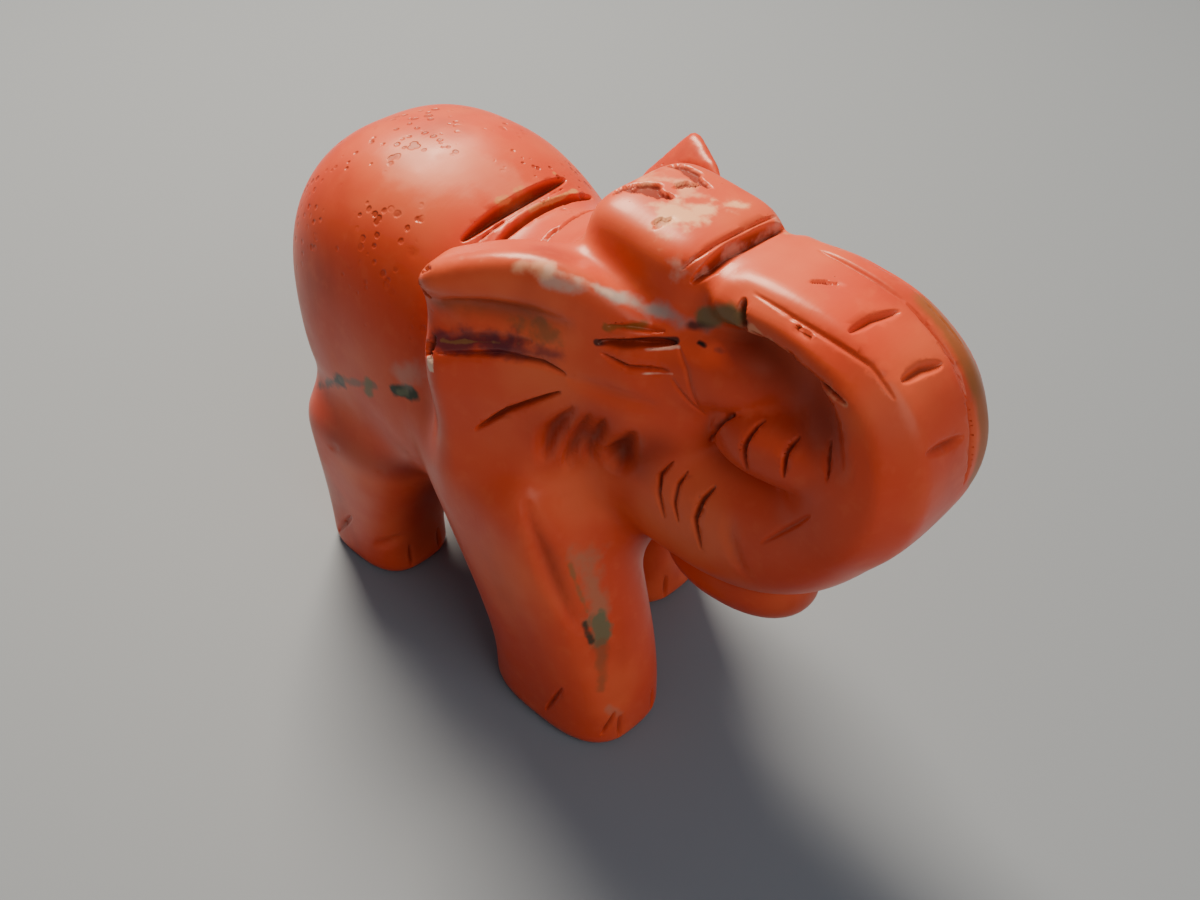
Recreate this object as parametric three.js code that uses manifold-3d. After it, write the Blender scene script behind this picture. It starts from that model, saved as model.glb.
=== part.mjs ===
// Small carved elephant of polished red agate, standing with its trunk curled up over its forehead.
// Millimetres. X is the animal's left, minus Y is the way it faces, Z is up, and the soles stand on Z = 0.
// The stone is described as one smooth form, meshed by walking a grid, and then cut with thin grooves.
// Places in the lists below are [left, forward, up] from a point on the ground under the middle of the legs.
// The form is drawn in those places and then brought to the finished size, so its proportions go with that.
import * as THREE from "three";
import { mergeVertices } from "three/addons/utils/BufferGeometryUtils.js";
import Module from "manifold-3d";

// Finished size of the figure: across the ears, from trunk to tail, and up to the dome or the trunk's crest
const FIGURE_WIDTH = 23.4;
const FIGURE_LENGTH = 50.5;
const FIGURE_HEIGHT = 38.2;

// Stone colour
const STONE_COLOUR = 0xb24a30;
const STONE_ROUGHNESS = 0.28;

// Grid that the form is meshed on
const CELL_ACROSS = 1.36;
const CELL_UP = 1.36;
const CELL_HEAD = 1.22;
const CELL_RUMP = 2;
const GRID_CLEAR = 1;
const FOOT_CELLS = 1.5;

// Body, with half sizes in the same order as the places
const RUMP = { at: [-0.1, -7.7, 23.2], half: [9.9, 10.4, 12.2], power: 2.5 };
const CHEST = { at: [-0.3, 5, 20.4], half: [8.6, 10, 10], power: 2.2 };
const NECK = { at: [0, 10, 26.5], half: [6.8, 8, 8.2], power: 2.2 };
const BACK_BLEND = 7;
const NECK_BLEND = 4;

// Legs: an upright column from hip to foot, with the near fore foot one step ahead of the far one
const LEGS = [
  { hip: [-6.1, 5.6, 22], foot: [-5.9, 9.9, 2], hipHalf: [5.4, 6.4], footHalf: [4.2, 6] },
  { hip: [6, 5, 22], foot: [5.9, 4.5, 2], hipHalf: [5.1, 6], footHalf: [3.9, 4.9] },
  { hip: [-5.7, -9.6, 17], foot: [-5.6, -11.8, 2], hipHalf: [5, 6], footHalf: [3.6, 4.6] },
  { hip: [5.7, -9.4, 17], foot: [5.9, -10.6, 2], hipHalf: [5, 6], footHalf: [3.5, 4.9] },
];
const LEG_POWER = 2.8;
const LEG_BLEND = 2;
const HIP_FADE = 4;
const SOLE_ROUND = 1;
const SHIN_HOLLOW = { from: [-8.3, 16.6, 18.8], to: [-8.6, 17, 5], fromRadius: 5, toRadius: 1.6 };
const SHIN_BLEND = 1.2;

// Tail, laid down the rump in low relief
const TAIL_ROOT = { from: [0, -16.6, 30.5], to: [0, -17.7, 22], fromRadius: 1.4, toRadius: 1.3 };
const TAIL_END = { from: [0, -17.7, 22], to: [0, -17, 13], fromRadius: 1.3, toRadius: 1.1 };
const TAIL_BLEND = 0.6;

// Head
const SKULL = { at: [0, 13, 28.6], half: [6.6, 7, 6.8], power: 2.2 };
const DOME = { at: [0, 12.9, 34.3], half: [4.5, 4.5, 3.7], power: 4.2, pitch: -0.12 };
const CHEEK = { at: [0, 16, 31], half: [5.3, 7, 3], power: 2.6, pitch: 0.08 };
const THROAT = { at: [8.4, 13, 23.4], half: [2.6, 2.6, 4.6], power: 2 };
const CHIN = { at: [0, 18.9, 15.1], half: [3, 5.6, 3.3], power: 2.2, pitch: 0.1 };
const WEB = { at: [0, 22, 31], half: [2.6, 7.8, 5], power: 3 };
const WEB_FRONT = { at: [0, 26.6, 28.4], half: [4.6, 3.4, 5], power: 2.3 };
const BRIDGE = { at: [0, 17.6, 34.8], half: [3.6, 2.6, 2.1], power: 3 };
const LIP = { at: [2.9, 22.8, 28.3], half: [2.2, 4.3, 2.1], power: 2.4, pitch: 0.12 };
const DOME_BLEND = 1.2;
const CHEEK_BLEND = 1;
const HEAD_BLEND = 2;
const WEB_BLEND = 1;
const WEB_FRONT_BLEND = 2;
const BRIDGE_BLEND = 0.8;
const LIP_BLEND = 0.4;
const CHIN_BLEND = 0.5;

// Ears: a flap from the cheek back and out, with a hollow fold under its rim, and a thinner rim on the far one
const EAR_ROOT = [5.4, 15.5];
const EAR_REAR = [11.7, 3.6];
const EAR_NEAR = { top: 33.2, arch: 2.6, rise: 1.6, fall: 0.25, edge: 1.4 };
const EAR_FAR = { top: 31.2, arch: 0.4, rise: 4.2, fall: 0.75, edge: 1 };
const EAR_ARCH_LEAN = 0.85;
const EAR_FOOT = 25;
const EAR_DROP = 6;
const EAR_DEPTH = 4.6;
const EAR_PROUD = 0.4;
const EAR_BLEND = 2;
const EAR_TUCK = 0.12;
const EAR_TUCK_FROM = 27;
const EAR_FOLD = { from: [13.9, 2.5, 31.2], to: [8.9, 13.5, 32.2], fromRadius: 2.9, toRadius: 1.2 };
const FOLD_BLEND = 0.8;

// Trunk curl: centre line as forward, up, half thickness, half width, flat band on the near and far side
const CURL = [
  [11, 22.5, 6.5, 5.8, 0, 0],
  [15.5, 21.2, 6, 5.5, 0, 0],
  [19.5, 20.8, 5.6, 5.2, 0, 0],
  [22.8, 21.8, 4.9, 5, 0, 0.2],
  [26, 23.8, 3.5, 4.9, 0.1, 0.9],
  [28.8, 26.8, 2.4, 4.8, 0.8, 1],
  [29.8, 29.8, 1.7, 4.7, 1, 1],
  [28.6, 32.9, 1.6, 4.4, 1, 1],
  [25.8, 35.1, 1.4, 4.2, 1, 1],
  [22.4, 35.9, 1.3, 4, 1, 1],
  [19.4, 35.8, 1.3, 3.9, 1, 1],
];
const CURL_STEPS = 5;
const CURL_POWER = 2.5;
const CURL_MELT = 0.4;
const CURL_BLEND = 1;
const BAND_HALF = 2.4;
const BEVEL_WIDE = 1.8;
const BEVEL_DEEP_NEAR = 1.5;
const BEVEL_DEEP_FAR = 1.1;
const BAND_ROUND = 0.9;
const BEVEL_ROUND = 0.6;
const LEAST_HALF = 0.1;

// Grooves cut on both sides of the head
const SIDE_GROOVES = [
  { name: "eye", from: [-7.1, 13.3, 32.2], to: [-4.8, 16.8, 32.9], deep: 0.7, wide: 1 },
  { name: "upper lid", from: [-6.9, 13.6, 33.4], to: [-5, 16.4, 33.5], deep: 0.5, wide: 0.9 },
  { name: "ear fold", from: [-11.4, 4.3, 28.9], to: [-8.1, 11.4, 30], deep: 0.6, wide: 1.2 },
  { name: "ear cut", from: [-10.7, 6.4, 24.3], to: [-8.2, 11.4, 28.6], deep: 0.6, wide: 0.9 },
  { name: "first trunk ring", from: [-5.1, 17, 24.7], to: [-5.4, 17, 20.8], deep: 0.5, wide: 0.8 },
  { name: "second trunk ring", from: [-4.8, 17.9, 24.5], to: [-5.2, 18.3, 20.4], deep: 0.5, wide: 0.8 },
  { name: "third trunk ring", from: [-4.6, 19.6, 24.2], to: [-4.6, 19.9, 18.8], deep: 0.6, wide: 0.9 },
  { name: "first lip cut", from: [-3.9, 18.9, 26.8], to: [-4.1, 20.6, 29.7], deep: 0.5, wide: 0.8 },
  { name: "second lip cut", from: [-4.8, 22, 27.2], to: [-3.9, 22.1, 30.2], deep: 0.5, wide: 0.8 },
  { name: "third lip cut", from: [-4.9, 24.7, 28.2], to: [-4, 24.3, 30.3], deep: 0.5, wide: 0.8 },
];

// Grooves cut once: across the back behind the ears, and across the top of the trunk
const SINGLE_GROOVES = [
  { name: "back cut by the body", from: [-5.2, 0, 32.3], to: [3.9, -0.3, 32.8], deep: 0.9, wide: 1.5 },
  { name: "middle back cut", from: [-4.2, 1.7, 32.3], to: [5.3, 0.8, 31.5], deep: 0.8, wide: 1.3 },
  { name: "back cut by the dome", from: [-1.9, 4.7, 33.3], to: [3.2, 3.6, 32.5], deep: 0.5, wide: 0.9 },
  { name: "forehead cut", from: [-3.6, 16.6, 35.9], to: [3.4, 17.2, 36.4], deep: 0.8, wide: 1.8 },
  { name: "upper trunk cut", from: [-2.7, 26, 36.6], to: [0.6, 26.5, 36.8], deep: 0.5, wide: 1.2 },
  { name: "middle trunk cut", from: [-2.5, 29.3, 34.9], to: [0.5, 29.7, 34.8], deep: 0.5, wide: 1.2 },
  { name: "lower trunk cut", from: [-2.8, 30.8, 31.7], to: [0.9, 31.3, 31.2], deep: 0.5, wide: 1.1 },
];
const GROOVE_STATIONS = 5;
const GROOVE_LIFT = 0.6;
const GROOVE_END = 0.2;

// Toes: short upright grooves on the front of each foot
const TOE_SPOTS = [-0.4, 0.4];
const TOE_LOW = 0.5;
const TOE_HIGH = 3.2;
const TOE_DEEP = 0.4;
const TOE_WIDE = 0.9;

function smoothMin(a, b, blend) {
  const near = Math.max(blend - Math.abs(a - b), 0) / blend;
  return Math.min(a, b) - (near * near * blend) / 4;
}

function smoothMax(a, b, blend) {
  return -smoothMin(-a, -b, blend);
}

function mix(a, b, share) {
  return a + (b - a) * share;
}

function clamp01(v) {
  return Math.min(Math.max(v, 0), 1);
}

// Distance from a rounded lump whose section runs from an ellipse to a box as the power rises
function lump({ at, half, power, pitch = 0 }, x, f, z) {
  const df = f - at[1];
  const dz = z - at[2];
  const c = Math.cos(pitch);
  const s = Math.sin(pitch);
  const offset = [x - at[0], df * c + dz * s, dz * c - df * s];
  return superDistance(offset, half, power);
}

function superDistance(offset, half, power) {
  let sum = 1e-9;
  const share = offset.map((v, i) => Math.abs(v) / half[i]);
  for (const u of share) sum += u ** power;
  const level = sum ** (1 / power);
  let slope = 0;
  share.forEach((u, i) => {
    slope += ((u / level) ** (power - 1) / half[i]) ** 2;
  });
  return (level - 1) / Math.max(Math.sqrt(slope), 1e-6);
}

// Distance from a tapered rod with round ends
function rod({ from, to, fromRadius, toRadius }, x, f, z) {
  const p = new THREE.Vector3(x, f, z);
  const a = new THREE.Vector3(...from);
  const line = new THREE.Vector3(...to).sub(a);
  const t = clamp01(p.sub(a).dot(line) / line.lengthSq());
  return p.addScaledVector(line, -t).length() - mix(fromRadius, toRadius, t);
}

function column({ hip, foot, hipHalf, footHalf }, x, f, z) {
  const rise = clamp01((z - foot[2]) / (hip[2] - foot[2]));
  const t = rise * rise * (3 - 2 * rise);
  const offset = [x - mix(foot[0], hip[0], t), f - mix(foot[1], hip[1], t)];
  const half = [mix(footHalf[0], hipHalf[0], t), mix(footHalf[1], hipHalf[1], t)];
  return smoothMax(superDistance(offset, half, LEG_POWER), z - hip[2], HIP_FADE);
}

function ear(x, f, z) {
  const side = Math.abs(x);
  const tucked = side + Math.max(EAR_TUCK_FROM - z, 0) * EAR_TUCK;
  const run = [EAR_REAR[0] - EAR_ROOT[0], EAR_REAR[1] - EAR_ROOT[1]];
  const length = Math.hypot(run[0], run[1]);
  const along = ((tucked - EAR_ROOT[0]) * run[0] + (f - EAR_ROOT[1]) * run[1]) / length;
  const out = ((f - EAR_ROOT[1]) * run[0] - (tucked - EAR_ROOT[0]) * run[1]) / length;
  const share = clamp01(along / length);
  const { top: rim, arch, rise, fall, edge } = x < 0 ? EAR_NEAR : EAR_FAR;
  const top = rim + arch * Math.sin(Math.PI * share ** EAR_ARCH_LEAN) + rise * share + fall * Math.min(out, 0);
  const low = EAR_FOOT - EAR_DROP * share;
  const gap = [
    Math.abs(along - length / 2) - length / 2,
    Math.abs(z - (top + low) / 2) - (top - low) / 2,
    Math.abs(out + EAR_DEPTH / 2 - EAR_PROUD) - EAR_DEPTH / 2,
  ].map((v) => v + edge);
  const outside = Math.hypot(...gap.map((v) => Math.max(v, 0)));
  const flap = outside + Math.min(Math.max(...gap), 0) - edge;
  return smoothMax(flap, -rod(EAR_FOLD, side, f, z), FOLD_BLEND);
}

// Centre line of the curl, as short straight steps of a smooth curve through the listed places
function curlSteps() {
  const count = CURL.length;
  const place = (i) => {
    if (i < 0) return CURL[0].map((v, k) => 2 * v - CURL[1][k]);
    if (i >= count) return CURL[count - 1].map((v, k) => 2 * v - CURL[count - 2][k]);
    return CURL[i];
  };
  const steps = [];
  for (let i = 0; i < count - 1; i++) {
    const [a, b, c, d] = [place(i - 1), place(i), place(i + 1), place(i + 2)];
    for (let s = 0; s < CURL_STEPS; s++) {
      const t = s / CURL_STEPS;
      steps.push(
        b.map((v, k) => {
          const bend = 2 * a[k] - 5 * v + 4 * c[k] - d[k];
          const swing = 3 * v - a[k] - 3 * c[k] + d[k];
          return 0.5 * (2 * v + (c[k] - a[k]) * t + bend * t * t + swing * t ** 3);
        }),
      );
    }
  }
  steps.push(CURL[count - 1]);
  return steps;
}
const curlLine = curlSteps();

// The trunk's section swept along its line, with each step of the line melting into the next
function curl(x, f, z) {
  let total = 0;
  const sum = [0, 0, 0, 0, 0];
  for (let i = 0; i < curlLine.length - 1; i++) {
    const a = curlLine[i];
    const b = curlLine[i + 1];
    const run = [b[0] - a[0], b[1] - a[1]];
    const t = clamp01(((f - a[0]) * run[0] + (z - a[1]) * run[1]) / (run[0] ** 2 + run[1] ** 2));
    const away = Math.hypot(f - a[0] - run[0] * t, z - a[1] - run[1] * t);
    const outward = ((f - a[0]) * run[1] - (z - a[1]) * run[0]) / Math.hypot(...run);
    const [thick, wide, band] = [2, 3, x < 0 ? 4 : 5].map((k) => mix(a[k], b[k], t));
    const weight = Math.exp((thick - away) / CURL_MELT);
    total += weight;
    [away, outward, thick, wide, band].forEach((v, k) => {
      sum[k] += weight * v;
    });
  }
  if (total < 1e-290) return Infinity;
  const [away, outward, thick, wide, band] = sum.map((v) => v / total);
  const side = Math.abs(x);
  const half = [Math.max(wide, LEAST_HALF), Math.max(thick, LEAST_HALF)];
  const tube = superDistance([side, away], half, CURL_POWER);
  const deep = x < 0 ? BEVEL_DEEP_NEAR : BEVEL_DEEP_FAR;
  const bevel = (deep * (side - BAND_HALF) + BEVEL_WIDE * (outward - thick)) / Math.hypot(BEVEL_WIDE, deep);
  const bar = smoothMax(smoothMax(side - wide, away - thick, BAND_ROUND), bevel, BEVEL_ROUND);
  return mix(tube, bar, band);
}

// The whole stone: below zero inside
function stone(x, y, z) {
  const f = -y;
  const side = Math.abs(x);
  let d = smoothMin(lump(RUMP, x, f, z), lump(CHEST, x, f, z), BACK_BLEND);
  d = smoothMin(d, lump(NECK, x, f, z), NECK_BLEND);
  d = smoothMin(d, Math.min(...LEGS.map((l) => column(l, x, f, z))), LEG_BLEND);
  d = smoothMin(d, Math.min(rod(TAIL_ROOT, x, f, z), rod(TAIL_END, x, f, z)), TAIL_BLEND);
  d = smoothMax(d, -rod(SHIN_HOLLOW, x, f, z), SHIN_BLEND);
  d = smoothMax(d, -z, SOLE_ROUND);
  const brow = smoothMin(lump(SKULL, x, f, z), lump(DOME, x, f, z), DOME_BLEND);
  d = smoothMin(d, smoothMin(brow, lump(CHEEK, x, f, z), CHEEK_BLEND), HEAD_BLEND);
  d = smoothMax(d, -lump(THROAT, side, f, z), HEAD_BLEND);
  d = smoothMin(d, ear(x, f, z), EAR_BLEND);
  d = smoothMin(d, curl(x, f, z), CURL_BLEND);
  d = smoothMin(d, lump(WEB, x, f, z), WEB_BLEND);
  d = smoothMin(d, lump(WEB_FRONT, x, f, z), WEB_FRONT_BLEND);
  d = smoothMin(d, lump(BRIDGE, x, f, z), BRIDGE_BLEND);
  d = smoothMin(d, lump(LIP, side, f, z), LIP_BLEND);
  return smoothMin(d, lump(CHIN, x, f, z), CHIN_BLEND);
}

// Grid lines, even or growing steadily from one cell size to another
function gridLines(low, high, firstCell, lastCell) {
  const lines = [low];
  while (lines[lines.length - 1] < high) {
    const here = lines[lines.length - 1];
    lines.push(here + mix(firstCell, lastCell, (here - low) / (high - low)));
  }
  return lines;
}

// Fill a grid corner wherever two lots of stone would touch only along an edge
function fillPinches(value, at, size) {
  const filled = -1e-3;
  let found = true;
  while (found) {
    found = false;
    for (let axis = 0; axis < 3; axis++) {
      const [u, v] = [(axis + 1) % 3, (axis + 2) % 3];
      for (let i = 0; i < size[0] - 1; i++) {
        for (let j = 0; j < size[1] - 1; j++) {
          for (let k = 0; k < size[2] - 1; k++) {
            const ring = [[0, 0], [1, 0], [1, 1], [0, 1]].map(([du, dv]) => {
              const c = [i, j, k];
              c[u] += du;
              c[v] += dv;
              return at(...c);
            });
            const inside = ring.map((n) => value[n] < 0);
            if (inside[0] !== inside[2] || inside[1] !== inside[3] || inside[0] === inside[1]) continue;
            const open = ring.filter((n, m) => !inside[m]).sort((p, q) => value[p] - value[q]);
            value[open[0]] = filled;
            found = true;
          }
        }
      }
    }
  }
}

// One corner of the skin in each grid cell that the surface crosses, and one face on each crossed grid edge
function meshForm(form, xs, ys, zs) {
  const size = [xs.length, ys.length, zs.length];
  const at = (i, j, k) => (i * size[1] + j) * size[2] + k;
  const value = new Float64Array(size[0] * size[1] * size[2]);
  xs.forEach((x, i) => ys.forEach((y, j) => zs.forEach((z, k) => (value[at(i, j, k)] = form(x, y, z)))));
  fillPinches(value, at, size);
  const corner = new Map();
  const points = [];
  const lines = [xs, ys, zs];
  const unit = [[1, 0, 0], [0, 1, 0], [0, 0, 1]];
  for (let i = 0; i < size[0] - 1; i++) {
    for (let j = 0; j < size[1] - 1; j++) {
      for (let k = 0; k < size[2] - 1; k++) {
        const sum = new THREE.Vector3();
        let hits = 0;
        for (let axis = 0; axis < 3; axis++) {
          for (const u of [0, 1]) {
            for (const v of [0, 1]) {
              const a = [i, j, k];
              a[(axis + 1) % 3] += u;
              a[(axis + 2) % 3] += v;
              const b = a.map((c, n) => c + unit[axis][n]);
              const va = value[at(...a)];
              const vb = value[at(...b)];
              if (va < 0 === vb < 0) continue;
              const t = va / (va - vb);
              sum.add(new THREE.Vector3(...a.map((c, n) => mix(lines[n][c], lines[n][b[n]], t))));
              hits++;
            }
          }
        }
        if (!hits) continue;
        corner.set(at(i, j, k), points.length);
        points.push(settle(form, sum.divideScalar(hits)));
      }
    }
  }
  const faces = [];
  for (let axis = 0; axis < 3; axis++) {
    const [u, v] = [(axis + 1) % 3, (axis + 2) % 3];
    for (let i = 1; i < size[0] - 1; i++) {
      for (let j = 1; j < size[1] - 1; j++) {
        for (let k = 1; k < size[2] - 1; k++) {
          const a = [i, j, k];
          const b = a.map((c, n) => c + unit[axis][n]);
          const inside = value[at(...a)] < 0;
          if (inside === value[at(...b)] < 0) continue;
          const quad = [[-1, -1], [0, -1], [0, 0], [-1, 0]].map(([du, dv]) => {
            const c = [...a];
            c[u] += du;
            c[v] += dv;
            return corner.get(at(...c));
          });
          if (!inside) quad.reverse();
          const [p, q, r, s] = quad.map((n) => points[n]);
          if (p.distanceTo(r) < q.distanceTo(s)) {
            faces.push([quad[0], quad[1], quad[2]], [quad[0], quad[2], quad[3]]);
          } else {
            faces.push([quad[0], quad[1], quad[3]], [quad[1], quad[2], quad[3]]);
          }
        }
      }
    }
  }
  return { points, faces };
}

function slopeOf(form, { x, y, z }) {
  const probe = 0.05;
  return new THREE.Vector3(
    form(x + probe, y, z) - form(x - probe, y, z),
    form(x, y + probe, z) - form(x, y - probe, z),
    form(x, y, z + probe) - form(x, y, z - probe),
  ).divideScalar(2 * probe);
}

// Move a point onto the surface along the steepest way
function settle(form, point) {
  const reach = 0.5;
  for (let round = 0; round < 4; round++) {
    const slope = slopeOf(form, point);
    const move = form(point.x, point.y, point.z) / Math.max(slope.lengthSq(), 1e-6);
    point.addScaledVector(slope, -Math.min(Math.max(move, -reach), reach));
  }
  return point;
}

// A groove with a V section that follows the surface and runs out at both ends, like a small boat hull
function grooveTool({ from, to, deep, wide }) {
  const start = new THREE.Vector3(from[0], -from[1], from[2]);
  const run = new THREE.Vector3(to[0], -to[1], to[2]).sub(start);
  const rings = [];
  for (let i = 0; i <= GROOVE_STATIONS; i++) {
    const t = i / GROOVE_STATIONS;
    const share = Math.max(Math.sin(Math.PI * t) ** 0.6, GROOVE_END);
    const spot = settle(stone, start.clone().addScaledVector(run, t));
    const out = slopeOf(stone, spot).normalize();
    const across = run.clone().cross(out).normalize();
    const half = (wide / 2) * share * (1 + GROOVE_LIFT / deep);
    const rim = spot.clone().addScaledVector(out, GROOVE_LIFT * share);
    rings.push([
      spot.clone().addScaledVector(out, -deep * share),
      rim.clone().addScaledVector(across, half),
      rim.clone().addScaledVector(across, -half),
    ]);
  }
  const index = [0, 1, 2];
  for (let i = 0; i < GROOVE_STATIONS; i++) {
    for (let k = 0; k < 3; k++) {
      const a = 3 * i + k;
      const b = 3 * i + ((k + 1) % 3);
      index.push(a, a + 3, b, b, a + 3, b + 3);
    }
  }
  const last = 3 * GROOVE_STATIONS;
  index.push(last, last + 2, last + 1);
  const tool = new THREE.BufferGeometry();
  tool.setAttribute("position", new THREE.Float32BufferAttribute(rings.flat().flatMap((p) => p.toArray()), 3));
  tool.setIndex(index);
  return solidOf(tool);
}

function mirrored(groove) {
  const flip = ([x, f, z]) => [-x, f, z];
  return { ...groove, from: flip(groove.from), to: flip(groove.to) };
}

function toeGrooves({ foot, footHalf }) {
  return TOE_SPOTS.map((spot) => {
    const place = [foot[0] + spot * footHalf[0], foot[1] + footHalf[1]];
    return { from: [...place, TOE_LOW], to: [...place, TOE_HIGH], deep: TOE_DEEP, wide: TOE_WIDE };
  });
}

const wasm = await Module();
wasm.setup();

// Closed solid of a three.js geometry
function solidOf(geometry) {
  const bare = geometry.clone();
  bare.deleteAttribute("normal");
  bare.deleteAttribute("uv");
  const merged = mergeVertices(bare, 1e-4);
  return new wasm.Manifold(
    new wasm.Mesh({
      numProp: 3,
      vertProperties: merged.attributes.position.array,
      triVerts: new Uint32Array(merged.index.array),
    }),
  );
}

// Reach of the grid: past the widest, foremost, rearmost and highest places of the form by a cell and a bit
const hipReach = LEGS.map(({ hip, hipHalf }) => Math.abs(hip[0]) + hipHalf[0]);
const halfSpan = Math.max(EAR_REAR[0] + EAR_PROUD, RUMP.half[0], ...hipReach) + CELL_ACROSS + GRID_CLEAR;
const frontEnd = Math.max(...CURL.map(([ahead, , thick]) => ahead + thick)) + CELL_HEAD + GRID_CLEAR;
const tailEnd = TAIL_END.from[1] - TAIL_END.fromRadius;
const rearEnd = Math.min(RUMP.at[1] - RUMP.half[1], tailEnd) - CELL_RUMP - GRID_CLEAR;
const domeTop = DOME.at[2] + DOME.half[2];
const gridTop = Math.max(domeTop, ...CURL.map(([, up, thick]) => up + thick)) + CELL_UP + GRID_CLEAR;
const { points, faces } = meshForm(
  stone,
  gridLines(-halfSpan, halfSpan, CELL_ACROSS, CELL_ACROSS),
  gridLines(-frontEnd, -rearEnd, CELL_HEAD, CELL_RUMP),
  gridLines(-FOOT_CELLS * CELL_UP, gridTop, CELL_UP, CELL_UP),
);
const skin = new THREE.BufferGeometry();
skin.setAttribute("position", new THREE.Float32BufferAttribute(points.flatMap((p) => p.toArray()), 3));
skin.setIndex(faces.flat());
const grooves = [
  ...SIDE_GROOVES.flatMap((g) => [g, mirrored(g)]),
  ...SINGLE_GROOVES,
  ...LEGS.flatMap(toeGrooves),
];
let carved = solidOf(skin);
for (const groove of grooves) carved = carved.subtract(grooveTool(groove));

function meshOf(solid) {
  const made = solid.getMesh();
  const geometry = new THREE.BufferGeometry();
  geometry.setAttribute("position", new THREE.BufferAttribute(made.vertProperties, 3));
  geometry.setIndex(new THREE.BufferAttribute(made.triVerts, 1));
  return geometry;
}

// Bring the figure to its finished size and stand it over the middle of its own ground box
const finished = meshOf(carved);
finished.computeBoundingBox();
const middle = finished.boundingBox.getCenter(new THREE.Vector3());
const drawn = finished.boundingBox.getSize(new THREE.Vector3());
finished.translate(-middle.x, -middle.y, 0);
finished.scale(FIGURE_WIDTH / drawn.x, FIGURE_LENGTH / drawn.y, FIGURE_HEIGHT / drawn.z);

const material = new THREE.MeshStandardMaterial({
  color: STONE_COLOUR,
  roughness: STONE_ROUGHNESS,
  metalness: 0,
});
const elephant = new THREE.Mesh(finished, material);
elephant.name = "elephant";
const part = new THREE.Group();
part.add(elephant);

export default part;
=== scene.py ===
import math
import bmesh
import bpy
import numpy as np
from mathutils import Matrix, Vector


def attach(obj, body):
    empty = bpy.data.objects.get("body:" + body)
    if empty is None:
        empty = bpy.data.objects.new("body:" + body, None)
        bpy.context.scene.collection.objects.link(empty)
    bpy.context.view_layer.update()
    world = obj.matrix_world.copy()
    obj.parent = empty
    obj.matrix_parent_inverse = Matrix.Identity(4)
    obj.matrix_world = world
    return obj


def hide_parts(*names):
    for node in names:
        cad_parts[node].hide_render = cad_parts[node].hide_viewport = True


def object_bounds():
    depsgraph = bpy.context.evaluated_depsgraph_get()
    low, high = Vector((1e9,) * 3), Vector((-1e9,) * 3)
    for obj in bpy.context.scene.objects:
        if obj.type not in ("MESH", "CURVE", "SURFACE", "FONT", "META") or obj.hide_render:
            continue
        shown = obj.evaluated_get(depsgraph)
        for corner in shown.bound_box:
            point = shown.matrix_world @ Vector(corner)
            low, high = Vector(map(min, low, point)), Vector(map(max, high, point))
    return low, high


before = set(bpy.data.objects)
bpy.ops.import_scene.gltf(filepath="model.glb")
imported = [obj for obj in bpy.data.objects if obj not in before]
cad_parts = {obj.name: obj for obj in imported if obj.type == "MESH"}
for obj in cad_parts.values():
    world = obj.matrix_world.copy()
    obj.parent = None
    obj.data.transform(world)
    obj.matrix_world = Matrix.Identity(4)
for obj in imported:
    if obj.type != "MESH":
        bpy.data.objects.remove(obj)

cad_box = [list(corner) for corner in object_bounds()]

# Body of the elephant. The whole figure is one pebble of red agate, ground to shape on wheels and tumbled
# until it shines, so it is described here as one smooth form and only meshed when every part of it is there.
# Places are [left, forward, up] in millimetres from the ground under the middle of the legs.
RUMP = dict(at=(-0.1, -7.7, 23.2), half=(9.9, 10.4, 12.2), power=2.5)
CHEST = dict(at=(-0.3, 5, 20.4), half=(8.6, 10, 10), power=2.2)
NECK = dict(at=(0, 10, 26.5), half=(6.8, 8, 8.2), power=2.2)


def smooth_min(a, b, blend):
    near = np.maximum(blend - np.abs(a - b), 0) / blend
    return np.minimum(a, b) - near * near * blend / 4


def smooth_max(a, b, blend):
    return -smooth_min(-a, -b, blend)


def super_distance(offset, half, power):
    """Distance from a rounded box: an ellipse at power 2, squarer as the power rises."""
    share = [np.abs(o) / h for o, h in zip(offset, half)]
    level = np.maximum(sum(u ** power for u in share), 1e-9) ** (1 / power)
    slope = sum(((u / level) ** (power - 1) / h) ** 2 for u, h in zip(share, half))
    return (level - 1) / np.maximum(np.sqrt(slope), 1e-6)


def lump(p, at, half, power, pitch=0.0):
    side, ahead, up = (p[:, k] - at[k] for k in range(3))
    c, s = math.cos(pitch), math.sin(pitch)
    return super_distance((side, ahead * c + up * s, up * c - ahead * s), half, power)


def rod(p, start, end, start_radius, end_radius):
    start, end = np.array(start, float), np.array(end, float)
    run = end - start
    t = np.clip((p - start) @ run / (run @ run), 0, 1)
    away = np.linalg.norm(p - start - t[:, None] * run, axis=1)
    return away - (start_radius + (end_radius - start_radius) * t)


def body_form(p):
    form = smooth_min(lump(p, **RUMP), lump(p, **CHEST), 7)
    return smooth_min(form, lump(p, **NECK), 4)


# Legs. Four stout columns left standing when the belly was ground out between them, with flat polished soles.
# The right fore foot is a step ahead of the left one, and its front face is hollowed by the wheel.
LEGS = (
    dict(hip=(-6.1, 5.6, 22), foot=(-5.9, 9.9, 2), hip_half=(5.4, 6.4), foot_half=(4.2, 6)),
    dict(hip=(6, 5, 22), foot=(5.9, 4.5, 2), hip_half=(5.1, 6), foot_half=(3.9, 4.9)),
    dict(hip=(-5.7, -9.6, 17), foot=(-5.6, -11.8, 2), hip_half=(5, 6), foot_half=(3.6, 4.6)),
    dict(hip=(5.7, -9.4, 17), foot=(5.9, -10.6, 2), hip_half=(5, 6), foot_half=(3.5, 4.9)),
)


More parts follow.
